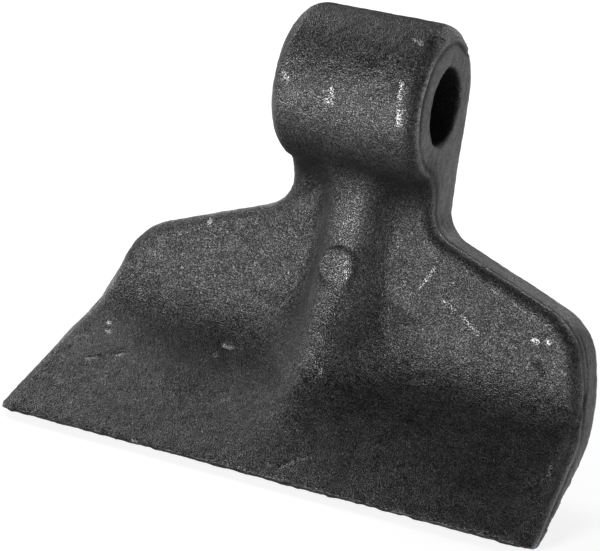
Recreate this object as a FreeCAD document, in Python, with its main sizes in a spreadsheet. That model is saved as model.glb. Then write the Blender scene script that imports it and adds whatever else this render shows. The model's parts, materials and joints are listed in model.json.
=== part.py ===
import FreeCAD, Part
import math
import os
import Sketcher

# Drop forged mulcher hammer blade, one solid piece of steel.
# Frame in millimetres: the origin is the middle of the pin bore, X runs along the bore,
# Y points to the flat back and Z up. Depths are measured forwards from the bore axis and
# drops downwards from it, so a depth is minus Y and a drop is minus Z.

NODE = "hammer_blade"

SIZES = {
    # hub, the barrel that swings on the rotor pin
    "hub_radius": 21.0,
    "hub_half_width": 20.4,
    "bore_radius": 10.25,
    # draft of the forging: how far its walls lean in from the front face to the back
    "side_draft_angle": 0.8,
    "top_draft_angle": 7.5,
    # fan outline of the blade, in the plane of the bore axis
    "neck_corner_drop": 33.2,
    "neck_corner_radius": 9.0,
    "top_slope": 20.4,
    "shoulder_radius": 18.0,
    "flare_angle": 17.7,
    "waist_half_width": 72.7,
    "waist_drop": 78.0,
    "waist_radius": 18.0,
    "edge_spread": 2.2,
    # side profile of the front face, beside the rib
    "valley_radius": 11.0,
    "neck_front_depth": -1.0,
    "neck_length": 33.0,
    "kink_radius": 24.0,
    "bend_depth": 2.4,
    "panel_length": 16.5,
    "bend_radius": 21.0,
    "edge_depth": 46.4,
    "edge_drop": 93.95,
    # rib that runs down the middle of the front face
    "rib_height": 6.5,
    "rib_plateau": 2.5,
    "rib_reach": 13.0,
    "rib_kink_rise": 16.0,
    "ridge_advance": 18.6,
    "ridge_fall": 3.5,
    "ridge_rounding": 3.0,
    "ridge_reach": 27.0,
    # side profile of the back and of the cutting edge
    "back_bend_drop": 72.2,
    "back_bend_radius": 32.0,
    "bevel_depth": 39.0,
    "bevel_drop": 96.2,
    "tip_depth": 44.8,
    "tip_drop": 95.3,
    # rounded rim all around
    "rim_radius": 4.0,
    # flat round ejector mark on the rib
    "spot_radius": 5.2,
    "spot_drop": 45.5,
    "spot_depth": 8.8,
    "spot_lean": 20.0,
}
# the section of the front face is drawn at even steps, so many to each side
STATIONS_EACH_SIDE = 16
# how far blanks and cutters reach past the finished part
MARGIN = 8.0
# the toe is left this much too thick until its rims are rounded
TOE_ALLOWANCE = 6.0
# how deep the ejector mark is filled, and how far over it the rib is cleared
SPOT_REACH = 3.0
# a face of the outline leans this much to the side at least, as the x of its normal
WALL_TILT = 0.25


class Term:
    """A length that knows its value and the spreadsheet formula behind it."""

    def __init__(self, value, formula):
        self.value = value
        self.formula = formula

    @staticmethod
    def of(other):
        return other if isinstance(other, Term) else Term(float(other), "%.9g" % other)

    def join(self, sign, other, value):
        return Term(value, "(%s %s %s)" % (self.formula, sign, Term.of(other).formula))

    def __add__(self, other):
        return self.join("+", other, self.value + Term.of(other).value)

    def __sub__(self, other):
        return self.join("-", other, self.value - Term.of(other).value)

    def __mul__(self, other):
        return self.join("*", other, self.value * Term.of(other).value)

    def __truediv__(self, other):
        return self.join("/", other, self.value / Term.of(other).value)

    def __neg__(self):
        return Term(-self.value, "(0 - %s)" % self.formula)


ZERO = Term.of(0.0)


def slope_of(angle):
    return Term(math.tan(math.radians(angle.value)), "tan(%s)" % angle.formula)


def root(square):
    return Term(math.sqrt(square.value), "sqrt(%s)" % square.formula)


def swell(place, plateau, reach):
    """A smooth bump across the blade: 1 over its plateau, falling to 0 at its reach."""
    distance = place if place.value >= 0 else -place
    if distance.value <= plateau.value:
        return Term.of(1.0)
    if distance.value >= reach.value:
        return ZERO
    fall = (distance - plateau) / (reach - plateau)
    value = math.cos(math.radians(90.0 * fall.value)) ** 2
    return Term(value, "(cos(90 * %s) ^ 2)" % fall.formula)


def crest(place, rounding, reach):
    """A sharp bump across the blade, but for its rounded top, falling to 0 at its reach."""
    distance = root(place * place + rounding * rounding) - rounding
    if distance.value >= reach.value:
        return ZERO
    fall = distance / reach
    value = 1.0 - math.sin(math.radians(90.0 * fall.value))
    return Term(value, "(1 - sin(90 * %s))" % fall.formula)


def vector(corner):
    return FreeCAD.Vector(corner[0].value, corner[1].value, 0)


def turn_points(before, corner, after, radius):
    """Centre and the two tangent points of the arc that rounds a corner."""
    back = (before - corner).normalize()
    on = (after - corner).normalize()
    half = back.getAngle(on) / 2
    reach = radius / math.tan(half)
    centre = corner + (back + on).normalize() * (radius / math.sin(half))
    return centre, corner + back * reach, corner + on * reach


class Outline:
    """A sketch on one of the body's own planes, drawn as corners with rounded turns."""

    def __init__(self, body, plane, name, offset):
        self.sketch = body.newObject("Sketcher::SketchObject", name)
        support = [f for f in body.Origin.OriginFeatures if f.Role == plane]
        self.sketch.AttachmentSupport = [(support[0], "")]
        self.sketch.MapMode = "FlatFace"
        self.sketch.AttachmentOffset = FreeCAD.Placement(
            FreeCAD.Vector(0, 0, offset.value), FreeCAD.Rotation())
        self.sketch.setExpression("AttachmentOffset.Base.z", offset.formula)

    def tie(self, *constraint):
        self.sketch.addConstraint(Sketcher.Constraint(*constraint))

    def size(self, term, *constraint):
        """Adds a dimension whose value follows the spreadsheet."""
        index = self.sketch.addConstraint(Sketcher.Constraint(*constraint, term.value))
        self.sketch.setExpression("Constraints[%d]" % index, term.formula)

    def hold(self, corner, geometry, end):
        """Holds one end of a line, or a point, at a corner's two coordinates."""
        self.size(corner[0], "DistanceX", -1, 1, geometry, end)
        self.size(corner[1], "DistanceY", -1, 1, geometry, end)

    def arc(self, centre, radius, start, end, long_way=False):
        """Adds an arc and gives it with the numbers of its start and its end."""
        first = math.atan2(start.y - centre.y, start.x - centre.x)
        last = math.atan2(end.y - centre.y, end.x - centre.x)
        forwards = ((last - first) % (2 * math.pi) <= math.pi) != long_way
        if not forwards:
            first, last = last, first
        circle = Part.Circle(centre, FreeCAD.Vector(0, 0, 1), radius)
        curve = self.sketch.addGeometry(Part.ArcOfCircle(circle, first, last), False)
        return (curve, 1, 2) if forwards else (curve, 2, 1)

    def circle(self, radius):
        """Adds a circle around the sketch's own origin."""
        circle = Part.Circle(FreeCAD.Vector(0, 0, 0), FreeCAD.Vector(0, 0, 1), radius.value)
        curve = self.sketch.addGeometry(circle, False)
        self.tie("Coincident", curve, 3, -1, 1)
        self.size(radius, "Radius", curve)

    def round_corner(self, corner, turn, before, after):
        centre, start, end = turn
        curve, first, last = self.arc(centre, corner[2].value, start, end)
        self.tie("Tangent", before, 2, curve, first)
        self.tie("Tangent", curve, last, after, 1)
        self.size(corner[2], "Radius", curve)
        point = self.sketch.addGeometry(Part.Point(vector(corner)), True)
        self.hold(corner, point, 1)
        self.tie("PointOnObject", point, 1, before)
        self.tie("PointOnObject", point, 1, after)

    def chain(self, corners, closed):
        """Joins corners (across, up, turn radius or None) by lines, and gives the lines.

        The two ends of an open chain are left free for the caller to tie.
        """
        count = len(corners)
        turns = []
        for i, corner in enumerate(corners):
            turn = None
            if corner[2] is not None:
                before = vector(corners[i - 1])
                after = vector(corners[(i + 1) % count])
                turn = turn_points(before, vector(corner), after, corner[2].value)
            turns.append(turn)
        lines = []
        for i in range(count if closed else count - 1):
            following = (i + 1) % count
            start = turns[i][2] if turns[i] else vector(corners[i])
            end = turns[following][1] if turns[following] else vector(corners[following])
            lines.append(self.sketch.addGeometry(Part.LineSegment(start, end), False))
        inner = range(count) if closed else range(1, count - 1)
        for i in inner:
            if turns[i]:
                self.round_corner(corners[i], turns[i], lines[i - 1], lines[i])
            else:
                self.hold(corners[i], lines[i - 1], 2)
                self.tie("Coincident", lines[i - 1], 2, lines[i], 1)
        return lines


def make_sheet(doc):
    """Writes the driving dimensions and gives each one back as a Term."""
    sheet = doc.addObject("Spreadsheet::Sheet", "Sizes")
    size = {}
    for row, (name, value) in enumerate(SIZES.items(), start=1):
        sheet.set("A%d" % row, name)
        sheet.set("B%d" % row, str(value))
        sheet.setAlias("B%d" % row, name)
        size[name] = Term(value, "Sizes." + name)
    doc.recompute()
    return size


def fan_outline(body, size, name, depth):
    """The outline seen from the front, at one depth of the drafted forging."""
    side_draft = depth * slope_of(size["side_draft_angle"])
    slope = slope_of(size["top_slope"])
    flare = slope_of(size["flare_angle"])
    hub = size["hub_half_width"] + side_draft
    # the sloping top border moves square to itself, so it sinks by more than its draft
    rise = depth * slope_of(size["top_draft_angle"]) * root(slope * slope + 1.0)
    neck_drop = size["neck_corner_drop"] - rise + side_draft * slope
    waist = size["waist_half_width"] + side_draft
    waist_drop = size["waist_drop"]
    edge = waist + size["edge_spread"]
    # the shoulder is where the sloping top meets the flaring side
    run = waist - flare * waist_drop - hub
    shoulder_drop = (neck_drop + slope * run) / (Term.of(1.0) - slope * flare)
    shoulder = waist - flare * (waist_drop - shoulder_drop)
    # the sides run on past the cutting edge
    foot_drop = size["edge_drop"] + MARGIN
    foot = edge + size["edge_spread"] / (size["edge_drop"] - waist_drop) * MARGIN
    right = [
        (hub, size["hub_radius"] + MARGIN, None),
        (hub, -neck_drop, size["neck_corner_radius"]),
        (shoulder, -shoulder_drop, size["shoulder_radius"]),
        (waist, -waist_drop, size["waist_radius"]),
        (foot, -foot_drop, None),
    ]
    left = [(-across, up, radius) for across, up, radius in reversed(right)]
    outline = Outline(body, "XZ_Plane", name, depth)
    outline.chain(right + left, closed=True)
    return outline.sketch


def surround_outline(body, size):
    """What is cut away above, behind and under the side profile, but for the thin toe."""
    radius = size["hub_radius"]
    far = size["edge_depth"] + 3 * MARGIN
    behind = radius + 3 * MARGIN
    bend_drop = size["back_bend_drop"]
    # the underside runs straight on past the cutting edge, down to the blank's end
    fall = size["bevel_drop"] + TOE_ALLOWANCE - bend_drop
    far_drop = bend_drop + fall / (radius + size["bevel_depth"]) * (radius + far)
    below = far_drop + MARGIN
    corners = [
        (radius, ZERO, None),
        (radius, -bend_drop, size["back_bend_radius"]),
        (-far, -far_drop, None),
        (-far, -below, None),
        (behind, -below, None),
        (behind, behind, None),
        (-far, behind, None),
        (-far, ZERO, None),
        (-radius, ZERO, None),
    ]
    outline = Outline(body, "YZ_Plane", "surround_outline", ZERO)
    lines = outline.chain(corners, closed=False)
    centre = FreeCAD.Vector(0, 0, 0)
    curve, first, last = outline.arc(
        centre, radius.value, vector(corners[-1]), vector(corners[0]), long_way=True)
    outline.tie("Coincident", curve, 3, -1, 1)
    outline.size(radius, "Radius", curve)
    outline.tie("Coincident", lines[-1], 2, curve, first)
    outline.tie("PointOnObject", lines[-1], 2, -1)
    outline.tie("Tangent", curve, last, lines[0], 1)
    return outline.sketch


def toe_outline(body, size):
    """What is cut away under and before the toe: underside, bevel and blunt cutting edge."""
    behind = size["hub_radius"] + 3 * MARGIN
    fall = (size["bevel_drop"] - size["back_bend_drop"]) / (size["hub_radius"] + size["bevel_depth"])
    behind_drop = size["back_bend_drop"] - fall * (3 * MARGIN)
    below = size["bevel_drop"] + 3 * MARGIN
    far = size["edge_depth"] + 3 * MARGIN
    edge = (-size["edge_depth"], -size["edge_drop"])
    tip = (-size["tip_depth"], -size["tip_drop"])
    # the blunt tip runs on upwards, past the front face
    past = (edge[0] + (edge[0] - tip[0]) * 2.0, edge[1] + (edge[1] - tip[1]) * 2.0)
    corners = [
        (behind, -behind_drop, None),
        (-size["bevel_depth"], -size["bevel_drop"], None),
        (tip[0], tip[1], None),
        (past[0], past[1], None),
        (-far, past[1], None),
        (-far, -below, None),
        (behind, -below, None),
    ]
    outline = Outline(body, "YZ_Plane", "toe_outline", ZERO)
    outline.chain(corners, closed=True)
    return outline.sketch


def front_outline(body, size, name, place):
    """What is cut away in front of the blade, at one place across it."""
    rib = swell(place, size["rib_plateau"], size["rib_reach"])
    ridge = crest(place, size["ridge_rounding"], size["ridge_reach"])
    neck = size["neck_front_depth"] + size["rib_height"] * rib
    panel_top = size["hub_radius"] + size["neck_length"]
    kink_drop = panel_top - size["rib_kink_rise"] * rib
    bend_depth = size["bend_depth"] + size["ridge_advance"] * ridge
    bend_drop = panel_top + size["panel_length"] + size["ridge_fall"] * ridge
    far = size["edge_depth"] + 2 * MARGIN
    # the cut runs on past the cutting edge in line with the lower panel
    past_depth = size["edge_depth"] + (size["edge_depth"] - bend_depth) * 0.3
    past_drop = size["edge_drop"] + (size["edge_drop"] - bend_drop) * 0.3
    hub = size["hub_radius"]
    valley = size["valley_radius"]
    valley_depth = neck + valley
    valley_drop = root((hub + valley) * (hub + valley) - valley_depth * valley_depth)
    corners = [
        (-neck, -valley_drop, None),
        (-neck, -kink_drop, size["kink_radius"]),
        (-bend_depth, -bend_drop, size["bend_radius"]),
        (-past_depth, -past_drop, None),
        (-far, -past_drop, None),
        (-far, Term.of(MARGIN), None),
        (-hub, ZERO, None),
    ]
    outline = Outline(body, "YZ_Plane", name, place)
    lines = outline.chain(corners, closed=False)
    origin = FreeCAD.Vector(0, 0, 0)
    centre = FreeCAD.Vector(-valley_depth.value, -valley_drop.value, 0)
    touch = centre * (hub.value / (hub.value + valley.value))
    barrel, barrel_start, barrel_end = outline.arc(origin, hub.value, vector(corners[-1]), touch)
    hollow, hollow_start, hollow_end = outline.arc(
        centre, valley.value, touch, vector(corners[0]))
    outline.tie("Coincident", barrel, 3, -1, 1)
    outline.size(hub, "Radius", barrel)
    outline.tie("Coincident", lines[-1], 2, barrel, barrel_start)
    outline.tie("PointOnObject", lines[-1], 2, -1)
    outline.tie("Tangent", barrel, barrel_end, hollow, hollow_start)
    outline.size(valley, "Radius", hollow)
    outline.tie("Tangent", hollow, hollow_end, lines[0], 1)
    outline.tie("Vertical", lines[0])
    return outline.sketch


def loft(body, kind, name, sketches, ruled):
    feature = body.newObject("PartDesign::" + kind, name)
    feature.Profile = sketches[0]
    feature.Sections = sketches[1:]
    feature.Ruled = ruled
    body.Document.recompute()
    return feature


def through_pocket(body, name, sketch):
    """A pocket both ways from its sketch, right through the part."""
    pocket = body.newObject("PartDesign::Pocket", name)
    pocket.Profile = sketch
    pocket.SideType = "Symmetric"
    pocket.Type = "ThroughAll"
    body.Document.recompute()
    return pocket


def is_wall(face, point):
    """Tells the drafted walls of the outline from the faces of the side profile."""
    u, v = face.Surface.parameter(point)
    return abs(face.normalAt(u, v).x) > WALL_TILT


def hub_rim_edges(shape):
    """The rim edges over the top of the hub; the rest of the rim runs on from them."""
    found = []
    for i, edge in enumerate(shape.Edges, start=1):
        middle = edge.valueAt((edge.FirstParameter + edge.LastParameter) / 2)
        faces = shape.ancestorsOfType(edge, Part.Face)
        if middle.z > 0 and is_wall(faces[0], middle) != is_wall(faces[1], middle):
            found.append("Edge%d" % i)
    return found


def bore_outline(body, size):
    outline = Outline(body, "YZ_Plane", "bore_outline", ZERO)
    outline.circle(size["bore_radius"])
    return outline.sketch


def press_spot(body, size):
    """The ejector mark, a flat disc that leans less than the rib, so its foot stands proud."""
    outline = Outline(body, "XZ_Plane", "spot_outline", size["spot_depth"])
    sketch = outline.sketch
    drop = -size["spot_drop"]
    lean = -size["spot_lean"]
    offset = sketch.AttachmentOffset
    offset.Base.y = drop.value
    offset.Rotation = FreeCAD.Rotation(FreeCAD.Vector(1, 0, 0), lean.value)
    sketch.AttachmentOffset = offset
    sketch.setExpression("AttachmentOffset.Base.y", drop.formula)
    sketch.setExpression("AttachmentOffset.Rotation.Angle", lean.formula)
    outline.circle(size["spot_radius"])

    fill = body.newObject("PartDesign::Pad", "spot_fill")
    fill.Profile = sketch
    fill.Length = SPOT_REACH
    fill.Reversed = True
    body.Document.recompute()
    face = body.newObject("PartDesign::Pocket", "spot_face")
    face.Profile = sketch
    face.Length = SPOT_REACH
    face.Reversed = True
    body.Document.recompute()


def make_blade(doc, size):
    body = doc.addObject("PartDesign::Body", NODE)
    body.Label = NODE

    front = size["edge_depth"] + MARGIN / 2
    back = -(size["hub_radius"] + MARGIN / 2)
    fans = [
        fan_outline(body, size, "front_fan", front),
        fan_outline(body, size, "back_fan", back),
    ]
    loft(body, "AdditiveLoft", "drafted_fan", fans, ruled=True)

    through_pocket(body, "side_profile", surround_outline(body, size))

    sections = []
    step = (size["waist_half_width"] + size["edge_spread"] + MARGIN / 2) / STATIONS_EACH_SIDE
    for i in range(-STATIONS_EACH_SIDE, STATIONS_EACH_SIDE + 1):
        sections.append(front_outline(body, size, "front_section", step * i))
    carved = loft(body, "SubtractiveLoft", "front_face", sections, ruled=False)

    rim = body.newObject("PartDesign::Fillet", "rim")
    rim.Base = (carved, hub_rim_edges(carved.Shape))
    rim.setExpression("Radius", size["rim_radius"].formula)
    doc.recompute()

    through_pocket(body, "toe", toe_outline(body, size))
    through_pocket(body, "bore", bore_outline(body, size))
    press_spot(body, size)
    return body


def check(doc):
    for item in doc.Objects:
        if "Invalid" in item.State or "Error" in item.State:
            raise RuntimeError("%s failed: %s" % (item.Name, item.State))


def main():
    doc = FreeCAD.newDocument("HammerBlade")
    size = make_sheet(doc)
    body = make_blade(doc, size)
    doc.recompute()
    check(doc)
    shape = body.Shape
    if shape.isNull() or not shape.isValid():
        raise RuntimeError("the blade's shape isn't valid")
    os.makedirs("parts", exist_ok=True)
    shape.exportStep("parts/%s.step" % NODE)
    print("volume %.0f mm3, %d faces" % (shape.Volume, len(shape.Faces)), shape.BoundBox)


main()
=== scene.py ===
import json
import math

import bpy
import numpy as np
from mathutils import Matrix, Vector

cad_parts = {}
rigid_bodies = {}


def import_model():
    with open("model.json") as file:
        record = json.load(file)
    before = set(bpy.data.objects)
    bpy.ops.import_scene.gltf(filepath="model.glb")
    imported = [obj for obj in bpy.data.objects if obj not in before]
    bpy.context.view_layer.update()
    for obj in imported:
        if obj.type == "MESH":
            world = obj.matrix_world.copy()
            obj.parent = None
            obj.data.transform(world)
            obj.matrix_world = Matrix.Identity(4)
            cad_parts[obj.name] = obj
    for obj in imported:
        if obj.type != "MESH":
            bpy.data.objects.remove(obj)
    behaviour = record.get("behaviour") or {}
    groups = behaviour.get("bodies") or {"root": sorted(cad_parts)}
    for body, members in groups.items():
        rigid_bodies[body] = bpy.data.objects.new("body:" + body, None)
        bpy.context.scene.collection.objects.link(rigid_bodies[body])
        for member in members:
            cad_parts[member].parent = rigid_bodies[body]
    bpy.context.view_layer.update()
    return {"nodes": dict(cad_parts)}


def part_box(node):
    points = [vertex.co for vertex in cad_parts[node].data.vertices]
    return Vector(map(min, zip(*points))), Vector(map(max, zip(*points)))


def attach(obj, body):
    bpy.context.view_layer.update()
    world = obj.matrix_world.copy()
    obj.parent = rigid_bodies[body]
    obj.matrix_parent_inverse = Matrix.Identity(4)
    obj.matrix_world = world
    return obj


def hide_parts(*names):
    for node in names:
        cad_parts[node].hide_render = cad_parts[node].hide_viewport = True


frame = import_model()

# Drop forged hammer blade of a mulcher: one piece of steel with the dark scale of its forging.
# The scene is in metres, +X along the pin bore, +Y to the flat back, +Z up, as in the CAD frame.
# Values of the blade and its skin are in mm: places are (x, y, z) or, in side view, (y, z).

MM = 0.001
BLADE = "hammer_blade"

# Side view of the front face: the hub's barrel, the hollow under it, then the corners of the
# face as (y, z, radius that rounds it), down to the cutting edge.
HUB_RADIUS = 21.0
BORE_RADIUS = 10.25
HOLLOW_CENTRE = (-10.0, -30.4)
HOLLOW_RADIUS = 11.0
FACE_CORNERS = [(1.0, -30.4, 0.0), (1.0, -54.0, 24.0), (-2.4, -70.5, 21.0), (-46.4, -93.95, 0.0)]
CUTTING_EDGE = (-45.6, -94.6)
EDGE_END = (75.4, -45.8, -94.6)

# The flat ejector mark on the rib: its middle, its radius and its lean in degrees.
SPOT_CENTRE = (0.0, -8.8, -45.5)
SPOT_RADIUS = 5.2
SPOT_LEAN = 20.0

# The walls stand at least this far to each side: at the hub and neck, and in the fan below.
NECK_HALF = 16.5
FAN_HALF = 36.0
FAN_TOP = -49.0
HUB_BOTTOM = -25.0

# How far behind the front border the trimmed flash of the dies runs round the walls, and the
# course of the seam on both side walls of the lower blade.
FLASH_BEHIND = 2.7
GROOVE_BEHIND = FLASH_BEHIND + 1.6
SEAM = [(9.4, -50.0), (8.5, -55.3), (7.3, -61.5), (5.2, -65.4), (-3.5, -71.8), (-12.8, -77.4),
        (-21.0, -81.9), (-30.0, -86.7)]

# Nicks and scratches: start, end, half width, depth, how bright the bared steel is.
MARKS = [
    # The first mark has no depth: it is a painted highlight along the crest of the ejector mark.
    ((2.5, -8.2, -43.8), (4.0, -9.9, -48.6), 0.3, 0.0, 0.75),
    ((-42.9, 1.9, -43.4), (-42.5, 1.4, -44.6), 1.0, 0.35, 1.0),
    ((-63.4, -10.6, -74.9), (-62.4, -11.4, -75.3), 0.7, 0.25, 0.9),
    ((-62.0, -13.6, -76.4), (-60.6, -14.2, -76.7), 0.7, 0.25, 0.9),
    ((-61.5, -24.5, -82.3), (-58.8, -23.2, -81.6), 0.6, 0.2, 0.8),
    ((-54.6, -21.2, -80.5), (-53.0, -20.2, -80.0), 0.6, 0.2, 0.7),
    ((-28.8, -9.2, -74.0), (-26.2, -9.5, -74.2), 0.9, 0.3, 0.9),
    ((-29.8, -12.6, -75.9), (-28.8, -13.2, -76.2), 0.6, 0.25, 0.8),
    ((53.5, 0.6, -55.0), (55.0, 0.6, -55.3), 0.8, 0.3, 1.0),
    ((57.2, 0.7, -54.5), (57.8, 0.7, -55.0), 0.7, 0.3, 0.9),
    ((23.8, 1.0, -42.4), (20.3, 1.0, -48.8), 0.55, 0.2, 0.7),
    ((33.4, 0.8, -53.4), (38.2, 0.5, -57.0), 0.5, 0.2, 0.7),
    ((27.5, 1.0, -50.5), (31.0, 0.9, -52.3), 0.45, 0.15, 0.6),
    ((-17.4, -20.7, 3.6), (-15.6, -20.7, 2.6), 0.9, 0.25, 0.8),
    ((-3.4, -20.9, 2.4), (-2.8, -20.9, 0.6), 1.0, 0.3, 0.8),
    ((-4.4, -21.0, -0.6), (-2.6, -21.0, -1.2), 0.8, 0.25, 0.8),
    ((13.2, -11.2, 17.8), (16.0, -12.5, 16.9), 0.6, 0.25, 0.8),
    ((14.9, -19.9, 7.4), (15.6, -20.6, 1.6), 0.7, 0.2, 0.9),
    ((15.8, -20.8, 0.6), (16.0, -20.8, -3.4), 0.8, 0.2, 0.8),
    ((3.7, -18.6, -71.2), (3.7, -18.8, -71.8), 0.6, 0.25, 0.9),
    ((6.3, -43.2, -91.7), (8.6, -40.8, -90.3), 0.5, 0.15, 0.6),
    ((9.2, -40.2, -89.9), (11.4, -38.2, -88.8), 0.5, 0.15, 0.5),
    ((-19.6, -28.2, -83.7), (-18.0, -26.4, -82.7), 0.5, 0.15, 0.5),
    ((69.8, -20.5, -80.2), (70.8, -23.8, -82.0), 0.6, 0.2, 0.6),
    ((-34.8, -45.6, -94.6), (-33.6, -45.6, -94.6), 1.2, 0.5, 1.0),
    ((39.0, -45.4, -94.8), (40.6, -45.4, -94.8), 1.1, 0.5, 0.9),
]
# Dents without bared steel, darkened as painted shade: centre, radius, depth.
PITS = [
    ((56.2, -0.4, -61.0), 1.8, 0.5),
    ((-51.0, -13.3, -76.3), 1.0, 0.3),
    ((26.7, -4.3, -69.2), 1.4, 0.3),
    ((-18.9, -32.8, -86.3), 1.6, 0.35),
    ((-6.0, -20.5, -6.0), 1.2, 0.3),
    ((8.5, -20.8, 2.0), 1.0, 0.25),
    ((30.2, 21.0, -45.0), 1.6, 0.4),
    ((-22.0, 21.0, -38.0), 1.2, 0.3),
    ((-48.0, 20.5, -62.0), 1.8, 0.4),
]

# The size of the skin's mesh, and how far each feature is pressed out of it or, below 0, into it.
MESH_SIZE = 0.73
DEEPEST_MARK = 0.5
SWELL_HEIGHT = 0.5
SCALE_HEIGHT = 0.3
CHIP_HEIGHT = 1.3
CORNER_DEPTH = 1.3
RELIEF = {
    "flash": 0.35,
    "flash groove": -0.3,
    "side seam": -0.35,
    "nicks": -DEEPEST_MARK,
    "pits": -DEEPEST_MARK,
    "spot edge": -0.5,
}

# How much each feature counts in the four tone layers that the material reads: wear with painted
# highlight, paler tone with painted highlight, painted shade, and evener walls.
# Wear and painted highlight: nicks and the trimmed flash are wear, and the first mark is a
# painted highlight; the lower rims, the rib's crest and the hub's front band are wear with
# painted highlight; the rib's right flank is painted highlight only.
WEAR_AND_SHEEN = {"bared": 1.0, "rim wear and sheen": 0.5, "flash": 0.3, "crest": 0.24, "barrel": 0.16, "flank": 0.2}
# Paler tone: the flash's crest is paler steel; the lower rims, the rib's crest and the hub's
# front band are paler partly as painted highlight, the rib's right flank wholly so.
PALE = {"flash crest": 1.0, "rim wear and sheen": 0.6, "crest": 0.07, "barrel": 0.06, "flank": 0.09}
# Painted shade: this whole layer darkens the colour where shade falls, in the flash groove, the
# side seam, the dents, round the ejector mark, under the hub, along the rims, on the cutting
# edge's downward face, in the bore and right of the rib.
PAINTED_SHADE_LAYER = {"flash groove": 0.75, "side seam": 0.7, "pits": 0.7, "spot edge": 1.0, "shade under hub": 1.0,
        "rim": 0.55, "blunt edge": 0.8, "bore": 1.0, "rib shadow": 0.4}
WALL = {"wall": 1.0}


def deselect_all():
    for thing in bpy.context.view_layer.objects:
        thing.select_set(False)


def make_active(thing):
    deselect_all()
    thing.select_set(True)
    bpy.context.view_layer.objects.active = thing


def apply_modifier(thing, kind, **settings):
    """Adds a modifier, sets it up and applies it at once."""
    make_active(thing)
    modifier = thing.modifiers.new(kind.lower(), kind)
    for name, value in settings.items():
        setattr(modifier, name, value)
    bpy.ops.object.modifier_apply(modifier=modifier.name)


# Lines in side view, and weights that fade along them

def to_segment(points, start, end):
    """Distance of points from a straight piece of line."""
    start = np.array(start)
    run = np.array(end) - start
    share = np.clip((points - start) @ run / max(run @ run, 1e-9), 0, 1)
    return np.linalg.norm(points - start - share[:, None] * run, axis=1)


def to_chain(points, chain):
    """Distance of points from a chain of straight pieces."""
    return np.minimum.reduce([to_segment(points, *ends) for ends in zip(chain, chain[1:])])


def arc(centre, radius, first, last, count):
    """Points along a round arc, by its first and last angle."""
    return [(centre[0] + radius * math.cos(a), centre[1] + radius * math.sin(a))
            for a in np.linspace(first, last, count)]


def turn_arc(before, corner, after, radius):
    """Points along the curve that rounds a corner."""
    corner = np.array(corner)
    back = np.array(before) - corner
    back /= np.linalg.norm(back)
    on = np.array(after) - corner
    on /= np.linalg.norm(on)
    half = math.acos(back @ on) / 2
    reach = radius / math.tan(half)
    start = corner + back * reach
    end = corner + on * reach
    return [start * (1 - t) ** 2 + corner * 2 * t * (1 - t) + end * t ** 2
            for t in np.linspace(0, 1, 7)]


def front_border():
    """The front border in side view, a chain of (y, z) from the hub's top to the edge."""
    hub_top = math.pi * 0.3
    touch = math.atan2(HOLLOW_CENTRE[1], HOLLOW_CENTRE[0]) % (2 * math.pi)
    chain = arc((0, 0), HUB_RADIUS, hub_top, touch, 40)
    chain += arc(HOLLOW_CENTRE, HOLLOW_RADIUS, touch - math.pi, 0, 12)
    corners = [corner[:2] for corner in FACE_CORNERS]
    for i in (1, 2):
        chain += turn_arc(corners[i - 1], corners[i], corners[i + 1], FACE_CORNERS[i][2])
    chain.append(corners[-1])
    return chain


def bump(distance, reach):
    """1 in the middle, falling smoothly to 0 at the reach."""
    share = np.clip(1 - distance / reach, 0, 1)
    return share * share * (3 - 2 * share)


def band(values, middle, reach):
    """1 where a value is at the middle, falling smoothly to 0 at the reach to both sides."""
    return bump(np.abs(values - middle), reach)


def fade(values, start, length):
    """0 up to the start, then rising to 1 over the length, which is negative for downwards."""
    return np.clip((values - start) / length, 0, 1)


def ragged(places, size, seed):
    """A slow wander between 0 and 1 that keeps long lines from looking drawn."""
    draw = np.random.default_rng(seed)
    total = np.zeros(len(places))
    for _ in range(9):
        wave = draw.normal(size=3)
        wave *= 2 * math.pi / size / np.linalg.norm(wave) * draw.uniform(0.6, 1.6)
        total += np.sin(places @ wave + draw.uniform(0, 2 * math.pi))
    return np.clip(0.5 + total / 6, 0, 1)


class Surface:
    """The forging's vertices: places in mm, normals, distances from the front border."""

    def __init__(self, forging):
        vertices = forging.data.vertices
        places = np.empty(len(vertices) * 3)
        vertices.foreach_get("co", places)
        normals = np.empty(len(vertices) * 3)
        forging.data.vertex_normals.foreach_get("vector", normals)
        self.places = places.reshape(-1, 3) / MM
        self.side = self.places[:, 1:]
        self.x, self.y, self.z = self.places.T
        self.normal_x, self.normal_y, self.normal_z = normals.reshape(-1, 3).T
        self.out = np.abs(self.x)
        self.is_right = self.x > 0
        self.is_front = self.y < 0
        self.is_outer = self.out > np.where(self.z < FAN_TOP, FAN_HALF, NECK_HALF)
        self.behind = to_chain(self.side, front_border())

    def is_wall(self, forwards=0.35):
        """Picks the walls all round the outline, with what faces forwards less than this."""
        is_level = (np.abs(self.normal_y) < forwards) & (self.normal_z > -0.45)
        on_hub = self.z > HUB_BOTTOM
        is_end_face = np.abs(self.normal_x) > 0.7
        return is_level & self.is_outer & (~on_hub | is_end_face)

    def to_point(self, point):
        """Distance from a point in side view."""
        return np.linalg.norm(self.side - np.array(point), axis=1)


# Features of the skin, each as a weight from 0 to 1 for every vertex

def flash_weights(surface):
    """The trimmed flash round the walls, and the groove behind it, which is darkened as painted
    shade.
    """
    wall = surface.is_wall(forwards=0.75)
    line = band(surface.behind, middle=FLASH_BEHIND, reach=0.95)
    groove = band(surface.behind, middle=GROOVE_BEHIND, reach=1.1)
    return line * wall, groove * wall


def seam_weights(surface):
    """A thin seam that runs down both side walls of the lower blade, darkened as painted shade.
    """
    wander = 0.6 * ragged(surface.places, 12.0, 7) - 0.3
    line = band(to_chain(surface.side, SEAM) - wander, middle=0, reach=0.85)
    return line * fade(surface.z, start=-50, length=-4) * (surface.out > 60)


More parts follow.
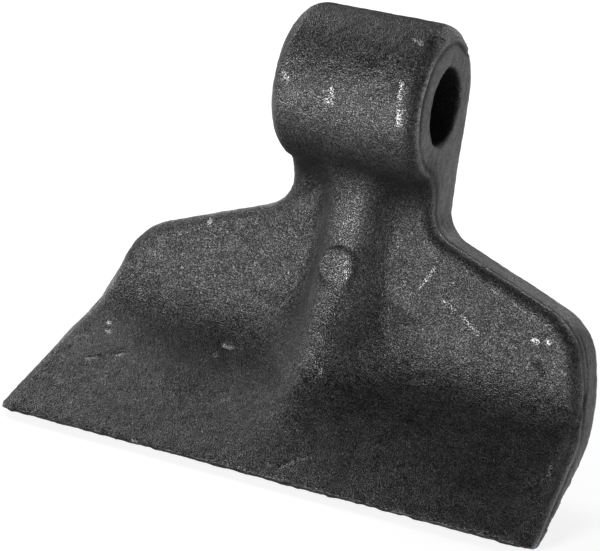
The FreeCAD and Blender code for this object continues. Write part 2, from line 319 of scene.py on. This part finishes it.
def rim_wear_and_sheen_weights(surface):
    """The side rims of the lower blade, most of all the left one, scuffed lighter and with a
    painted highlight.
    """
    rim = band(surface.behind, middle=1.6, reach=3.4)
    turned = fade(np.abs(surface.normal_x), start=0.15, length=0.3)
    low = fade(surface.z, start=-58, length=-10) * fade(surface.z, start=-90, length=10)
    return rim * turned * low * np.where(surface.is_right, 0.3, 1.0) * (surface.out > 55)


def rim_weights(surface):
    """Painted shade on the turn from the front to the walls, strongest on the right and weaker on
    the hub.
    """
    rim = band(surface.behind, middle=0.9, reach=1.7)
    turned = fade(np.abs(surface.normal_x), start=0.15, length=0.15)
    less_on_hub = np.where(surface.z > 8, 0.4, 1.0)
    less_at_left = np.where(surface.is_right, 1.0, 0.3)
    return rim * turned * surface.is_outer * less_on_hub * less_at_left


def crest_weights(surface):
    """The crest of the rib, scuffed brighter and with a painted highlight. Lower down it lies a
    little to the right.
    """
    drift = 0.05 * np.clip(-30 - surface.z, 0, 30)
    along = fade(surface.z, start=-25, length=-8) * fade(surface.z, start=-57, length=6)
    return band(surface.x - drift, middle=0.4, reach=6.5) * along * surface.is_front


def flank_weights(surface):
    """The right flank of the rib, a little brighter as a painted highlight, and the panel beside
    it, a little darker as the rib's painted shadow.
    """
    front = surface.is_front * fade(surface.z, start=-64, length=10)
    flank = band(surface.x, middle=7.5, reach=5.0) * fade(surface.z, start=-42, length=-6)
    beside = band(surface.x, middle=18, reach=10.0) * fade(surface.z, start=-26, length=-8)
    return flank * front, beside * front


def barrel_weights(surface):
    """The front of the hub, bared in fine flecks where it meets what is mulched, with a painted
    highlight across the same band.
    """
    on_barrel = surface.to_point((0, 0)) > HUB_RADIUS - 1
    return band(surface.z, middle=-4, reach=13.0) * ((surface.y < -8) & on_barrel)


def hub_shade_weights(surface):
    """Painted shade in the pocket under the hub on both sides of the rib, with more of it at the
    left.
    """
    hollow = bump(surface.to_point((-6.5, -24.5)), reach=16.0)
    hollow *= fade(surface.out, start=3, length=6)
    left = bump(surface.to_point((-10.0, -20.0)), reach=20.0)
    left *= fade(surface.x, start=-5, length=-5)
    return np.maximum(hollow, 0.8 * left) * (surface.out < 20.5)


def corner_weights(surface):
    """The two ends of the cutting edge, knocked round."""
    mirrored = np.stack([surface.out, surface.y, surface.z], axis=1)
    return bump(np.linalg.norm(mirrored - np.array(EDGE_END), axis=1), reach=4.5)


def mark_weights(surface):
    """How deep the nicks and scratches cut, and how far they bare the steel; the mark without
    depth only paints a highlight.
    """
    cut = np.zeros(len(surface.places))
    bared = np.zeros(len(surface.places))
    soft_side = 0.45
    for start, end, half_width, depth, shine in MARKS:
        near = bump(to_segment(surface.places, start, end), reach=half_width + soft_side)
        cut = np.maximum(cut, near * depth / DEEPEST_MARK)
        bared = np.maximum(bared, near * shine)
    return cut, bared


def pit_weights(surface):
    cut = np.zeros(len(surface.places))
    for centre, radius, depth in PITS:
        near = bump(np.linalg.norm(surface.places - np.array(centre), axis=1), reach=radius)
        cut = np.maximum(cut, near * depth / DEEPEST_MARK)
    return cut


def spot_weights(surface):
    """The pressed edge round the flat ejector mark, deepest above it and at its lower left, and
    darkened there as painted shade.
    """
    lean = math.radians(SPOT_LEAN)
    up = np.array([0.0, math.sin(lean), math.cos(lean)])
    offset = surface.places - np.array(SPOT_CENTRE)
    across = offset[:, 0]
    along = offset @ up
    off_plane = np.linalg.norm(offset - np.outer(along, up), axis=1) ** 2 - across ** 2
    is_close = np.sqrt(np.maximum(off_plane, 0)) < 4
    ring = band(np.hypot(across, along), middle=SPOT_RADIUS + 0.1, reach=0.85)
    angle = np.degrees(np.arctan2(along, across))
    above = band(angle, middle=95, reach=60)
    lower_left = band(angle, middle=-130, reach=60)
    return ring * is_close * np.maximum(above, lower_left)


def skin_weights(surface):
    """The weights of all features, by name."""
    flash, groove = flash_weights(surface)
    wander = 0.45 + 0.55 * ragged(surface.places, 14.0, 3)
    cut, bared = mark_weights(surface)
    flank, beside = flank_weights(surface)
    edge = bump(surface.to_point(CUTTING_EDGE), reach=3.0)
    return {
        "flash": flash * wander,
        "flash crest": flash * (1.6 * wander - 0.6),
        "flash groove": groove * wander,
        "side seam": seam_weights(surface),
        "nicks": cut,
        "bared": bared,
        "pits": pit_weights(surface),
        "spot edge": spot_weights(surface),
        "edge": edge,
        # Painted shade on the downward face of the cutting edge.
        "blunt edge": edge * fade(surface.normal_z, start=0, length=-1 / 3),
        "corners": corner_weights(surface),
        "rim wear and sheen": rim_wear_and_sheen_weights(surface),
        "rim": rim_weights(surface),
        "crest": crest_weights(surface),
        # Painted highlight on the rib's right flank, and painted shadow right of the rib.
        "flank": flank,
        "rib shadow": beside,
        "barrel": barrel_weights(surface),
        "shade under hub": hub_shade_weights(surface),
        # Painted shade inside the bore.
        "bore": fade(surface.to_point((0, 0)), start=BORE_RADIUS + 0.7, length=-0.8),
        "wall": fade(surface.behind, start=2.5, length=2) * surface.is_wall(),
    }


# Forging: a merged copy of the CAD blade with the skin that drop forging leaves

def copy_blade():
    source = frame["nodes"][BLADE]
    forging = bpy.data.objects.new("blade_forging", source.data.copy())
    bpy.context.scene.collection.objects.link(forging)
    forging.data.materials.clear()
    make_active(forging)
    bpy.ops.object.mode_set(mode="EDIT")
    bpy.ops.mesh.select_all(action="SELECT")
    bpy.ops.mesh.remove_doubles(threshold=0.01 * MM)
    bpy.ops.object.mode_set(mode="OBJECT")
    return forging


def clouds(name, size, depth):
    texture = bpy.data.textures.new(name, "CLOUDS")
    texture.noise_scale = size * MM
    texture.noise_depth = depth
    return texture


def roughen(forging, texture, height):
    """Moves the whole surface in and out by a cloud pattern, half of its height each way."""
    apply_modifier(forging, "DISPLACE", texture=texture, texture_coords="LOCAL",
                   strength=height * MM, mid_level=0.5)


def weigh(forging, name, weights):
    """Paints a vertex group with the weights, in tenths."""
    group = forging.vertex_groups.new(name=name)
    for level in range(1, 11):
        chosen = np.where(np.round(weights * 10) == level)[0]
        if len(chosen):
            group.add(chosen.tolist(), level / 10, "REPLACE")
    return group.name


def press(forging, name, weights, height, texture=None, middle=0.0):
    """Moves the painted places out of the surface, or into it with a negative height."""
    group = weigh(forging, name, weights)
    settings = {"vertex_group": group, "strength": height * MM, "mid_level": middle}
    if texture:
        settings.update(texture=texture, texture_coords="LOCAL")
    apply_modifier(forging, "DISPLACE", **settings)


def paint(forging, name, weights, shares):
    """Keeps the strongest of some features at each vertex as a layer for the material."""
    layer = forging.data.attributes.new(name, "FLOAT", "POINT")
    strongest = np.maximum.reduce([weights[part] * share for part, share in shares.items()])
    layer.data.foreach_set("value", strongest)


def forge_skin(forging):
    """Even fine mesh, pressed out of true a little as the dies and the scale leave it."""
    apply_modifier(forging, "REMESH", mode="VOXEL", voxel_size=MESH_SIZE * MM, adaptivity=0.0)
    apply_modifier(forging, "SMOOTH", factor=0.5, iterations=2)
    weights = skin_weights(Surface(forging))
    roughen(forging, clouds("die swells", 16, 1), SWELL_HEIGHT)
    roughen(forging, clouds("scale pits", 2.2, 2), SCALE_HEIGHT)
    for name, height in RELIEF.items():
        press(forging, name, weights[name], height)
    chips = clouds("edge chips", 2.6, 2)
    press(forging, "edge chips", weights["edge"], CHIP_HEIGHT, chips, middle=0.6)
    press(forging, "edge corners", weights["corners"], -CORNER_DEPTH)
    for name, shares in (("wear_and_sheen", WEAR_AND_SHEEN), ("pale", PALE), ("painted_shade", PAINTED_SHADE_LAYER), ("wall", WALL)):
        paint(forging, name, weights, shares)
    make_active(forging)
    bpy.ops.object.shade_smooth()


# Material: near-black speckled forging scale, brighter with wear and painted highlight, darker
# with painted shade

METAL_SHARE = 0.65
WALL_EVENNESS = 0.6
WALL_TONE = 0.075
WEAR_BREAKUP = 2.6
PALE_TONE = 0.16
PAINTED_SHADE_SHARE = 0.85
DARK_ROUGHNESS = 0.45
BUMP_HEIGHT = 0.22


class Nodes:
    """Short ways to add and join shader nodes."""

    def __init__(self, material):
        material.use_nodes = True
        self.tree = material.node_tree
        self.tree.nodes.clear()

    def add(self, kind, **values):
        node = self.tree.nodes.new(kind)
        for name, value in values.items():
            setattr(node, name, value)
        return node

    def join(self, start, end):
        self.tree.links.new(start, end)

    def noise(self, coordinates, scale, detail, rough):
        node = self.add("ShaderNodeTexNoise")
        node.inputs["Scale"].default_value = scale
        node.inputs["Detail"].default_value = detail
        node.inputs["Roughness"].default_value = rough
        self.join(coordinates, node.inputs["Vector"])
        return node.outputs["Fac"]

    def ramp(self, value, stops):
        """Turns a value into grey, by stops of (value, grey)."""
        node = self.add("ShaderNodeValToRGB")
        elements = node.color_ramp.elements
        while len(elements) < len(stops):
            elements.new(0.5)
        for element, (place, grey) in zip(elements, stops):
            element.position = place
            element.color = (grey, grey, grey, 1)
        self.join(value, node.inputs["Fac"])
        return node.outputs["Color"]

    def math(self, operation, *values):
        node = self.add("ShaderNodeMath", operation=operation)
        for socket, value in zip(node.inputs, values):
            if isinstance(value, (int, float)):
                socket.default_value = value
            else:
                self.join(value, socket)
        return node.outputs[0]

    def plus(self, first, second):
        return self.math("ADD", first, second)

    def times(self, first, second):
        return self.math("MULTIPLY", first, second)

    def less(self, tone, share):
        """The tone less a share of itself."""
        return self.times(tone, self.math("SUBTRACT", 1.0, share))

    def attribute(self, name):
        return self.add("ShaderNodeAttribute", attribute_name=name).outputs["Fac"]


def forged_steel():
    material = bpy.data.materials.new("forged_scale")
    nodes = Nodes(material)
    place = nodes.add("ShaderNodeTexCoord").outputs["Object"]
    grain = nodes.noise(place, scale=3200, detail=0, rough=0.5)
    speckle = nodes.noise(place, scale=1500, detail=2, rough=0.6)
    flecks = nodes.noise(place, scale=1300, detail=2, rough=0.7)
    mottle = nodes.noise(place, scale=520, detail=4, rough=0.65)
    patches = nodes.noise(place, scale=190, detail=2, rough=0.6)
    hair = nodes.noise(place, scale=95, detail=5, rough=0.6)
    wide_clouds = nodes.noise(place, scale=60, detail=3, rough=0.55)
    wear_and_sheen = nodes.attribute("wear_and_sheen")
    painted_shade = nodes.attribute("painted_shade")

    tone = nodes.ramp(grain, [(0.36, 0.022), (0.5, 0.062), (0.64, 0.15)])
    even = nodes.times(nodes.attribute("wall"), WALL_EVENNESS)
    tone = nodes.plus(nodes.less(tone, even), nodes.times(even, WALL_TONE))
    tone = nodes.times(tone, nodes.ramp(speckle, [(0.34, 0.5), (0.66, 1.15)]))
    tone = nodes.times(tone, nodes.ramp(mottle, [(0.3, 0.7), (0.7, 1.0)]))
    tone = nodes.times(tone, nodes.ramp(patches, [(0.36, 0.74), (0.64, 1.08)]))
    tone = nodes.times(tone, nodes.ramp(wide_clouds, [(0.3, 0.84), (0.7, 1.04)]))
    tone = nodes.plus(tone, nodes.ramp(flecks, [(0.62, 0.0), (0.74, 0.12)]))

    # Wear and the painted highlight in the same layers brighten the tone.
    breakup = nodes.times(nodes.math("SUBTRACT", grain, 0.5), WEAR_BREAKUP)
    bared = nodes.ramp(nodes.plus(wear_and_sheen, breakup), [(0.35, 0.0), (1.0, 0.65)])
    tone = nodes.plus(tone, nodes.times(wear_and_sheen, bared))
    tone = nodes.plus(tone, nodes.times(nodes.attribute("pale"), PALE_TONE))

    crack = nodes.math("ABSOLUTE", nodes.math("SUBTRACT", hair, 0.5))
    crack = nodes.ramp(crack, [(0.005, 0.7), (0.015, 0.0)])
    crack = nodes.times(crack, nodes.ramp(wide_clouds, [(0.5, 0.0), (0.58, 1.0)]))
    # Painted shade darkens the tone here, as do the hairline cracks.
    tone = nodes.less(nodes.less(tone, crack), nodes.times(painted_shade, PAINTED_SHADE_SHARE))

    shader = nodes.add("ShaderNodeBsdfPrincipled")
    shader.inputs["Metallic"].default_value = METAL_SHARE
    nodes.join(tone, shader.inputs["Base Color"])
    rough = nodes.ramp(mottle, [(0.3, 0.46), (0.7, 0.36)])
    rough = nodes.plus(rough, nodes.times(painted_shade, DARK_ROUGHNESS))
    nodes.join(rough, shader.inputs["Roughness"])
    bumps = nodes.add("ShaderNodeBump")
    bumps.inputs["Strength"].default_value = 1.0
    bumps.inputs["Distance"].default_value = BUMP_HEIGHT * MM
    nodes.join(nodes.plus(nodes.times(mottle, 0.9), grain), bumps.inputs["Height"])
    nodes.join(bumps.outputs["Normal"], shader.inputs["Normal"])
    output = nodes.add("ShaderNodeOutputMaterial")
    nodes.join(shader.outputs["BSDF"], output.inputs["Surface"])
    return material


def make_blade():
    forging = copy_blade()
    forge_skin(forging)
    forging.data.materials.append(forged_steel())
    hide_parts(BLADE)
    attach(forging, "root")


# Studio: white floor and backdrop, a strong soft lamp in front and faint ones all around

FLOOR_GAP = 0.5
FLOOR_SIZE = 12
PAPER_TONE = 0.4
PAPER_GLOW = 0.8
AMBIENT_LIGHT = 0.07
LAMP_DISTANCE = 1.2

# Azimuth from the front and height in degrees, width in metres, watts.
LAMPS = {
    "key_lamp": (-9, 6, 0.34, 16.5),
    "left_rim_lamp": (-122, 36, 0.6, 6),
    "left_lamp": (-88, 6, 0.7, 4),
    "right_side_lamp": (96, 6, 0.5, 3.3),
    "back_lamp": (170, 26, 0.4, 3.6),
}

# The camera's place in mm, its turn in degrees, its lens and the width of its sensor.
CAMERA_PLACE = (256.99, -656.30, 117.13)
CAMERA_TURN = (76.427, -7.680, 24.234)
CAMERA_LENS = 163.75
CAMERA_SENSOR = 36


def white_paper():
    """Pale paper that shows as white behind the object and keeps its soft shadow."""
    material = bpy.data.materials.new("white_paper")
    nodes = Nodes(material)
    paper = nodes.add("ShaderNodeBsdfDiffuse")
    paper.inputs["Color"].default_value = (PAPER_TONE, PAPER_TONE, PAPER_TONE, 1)
    glow = nodes.add("ShaderNodeEmission")
    rays = nodes.add("ShaderNodeLightPath")
    seen = nodes.math("MAXIMUM", rays.outputs["Is Camera Ray"], rays.outputs["Is Glossy Ray"])
    nodes.join(nodes.times(seen, PAPER_GLOW), glow.inputs["Strength"])
    both = nodes.add("ShaderNodeAddShader")
    nodes.join(paper.outputs["BSDF"], both.inputs[0])
    nodes.join(glow.outputs["Emission"], both.inputs[1])
    output = nodes.add("ShaderNodeOutputMaterial")
    nodes.join(both.outputs["Shader"], output.inputs["Surface"])
    return material


def make_floor():
    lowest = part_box(BLADE)[0].z - FLOOR_GAP * MM
    deselect_all()
    bpy.ops.mesh.primitive_plane_add(size=FLOOR_SIZE, location=(0, 0, lowest))
    floor = bpy.context.object
    floor.name = "floor"
    floor.data.materials.append(white_paper())


def make_world():
    """White as the camera sees it, and a faint light from all sides."""
    world = bpy.data.worlds.new("studio")
    bpy.context.scene.world = world
    nodes = Nodes(world)
    rays = nodes.add("ShaderNodeLightPath")
    strength = nodes.math("MAXIMUM", rays.outputs["Is Camera Ray"], AMBIENT_LIGHT)
    background = nodes.add("ShaderNodeBackground")
    nodes.join(strength, background.inputs["Strength"])
    output = nodes.add("ShaderNodeOutputWorld")
    nodes.join(background.outputs["Background"], output.inputs["Surface"])


def make_lamp(name, azimuth, elevation, width, watts):
    """A square soft box that looks at the bore."""
    turn = math.radians(azimuth)
    lift = math.radians(elevation)
    lamp = bpy.data.lights.new(name, "AREA")
    lamp.shape = "SQUARE"
    lamp.size = width
    lamp.energy = watts
    holder = bpy.data.objects.new(name, lamp)
    holder.location = (LAMP_DISTANCE * math.cos(lift) * math.sin(turn),
                       -LAMP_DISTANCE * math.cos(lift) * math.cos(turn),
                       LAMP_DISTANCE * math.sin(lift))
    holder.rotation_euler = (math.radians(90 - elevation), 0, turn)
    holder.visible_camera = False
    bpy.context.scene.collection.objects.link(holder)


def make_camera():
    camera = bpy.data.cameras.new("camera")
    camera.lens = CAMERA_LENS
    camera.sensor_width = CAMERA_SENSOR
    camera.clip_start = 0.01
    holder = bpy.data.objects.new("camera", camera)
    holder.location = [length * MM for length in CAMERA_PLACE]
    holder.rotation_euler = [math.radians(angle) for angle in CAMERA_TURN]
    bpy.context.scene.collection.objects.link(holder)
    bpy.context.scene.camera = holder


make_camera()
make_world()
make_floor()
for name, values in LAMPS.items():
    make_lamp(name, *values)
make_blade()
bpy.context.scene.view_settings.view_transform = "Standard"
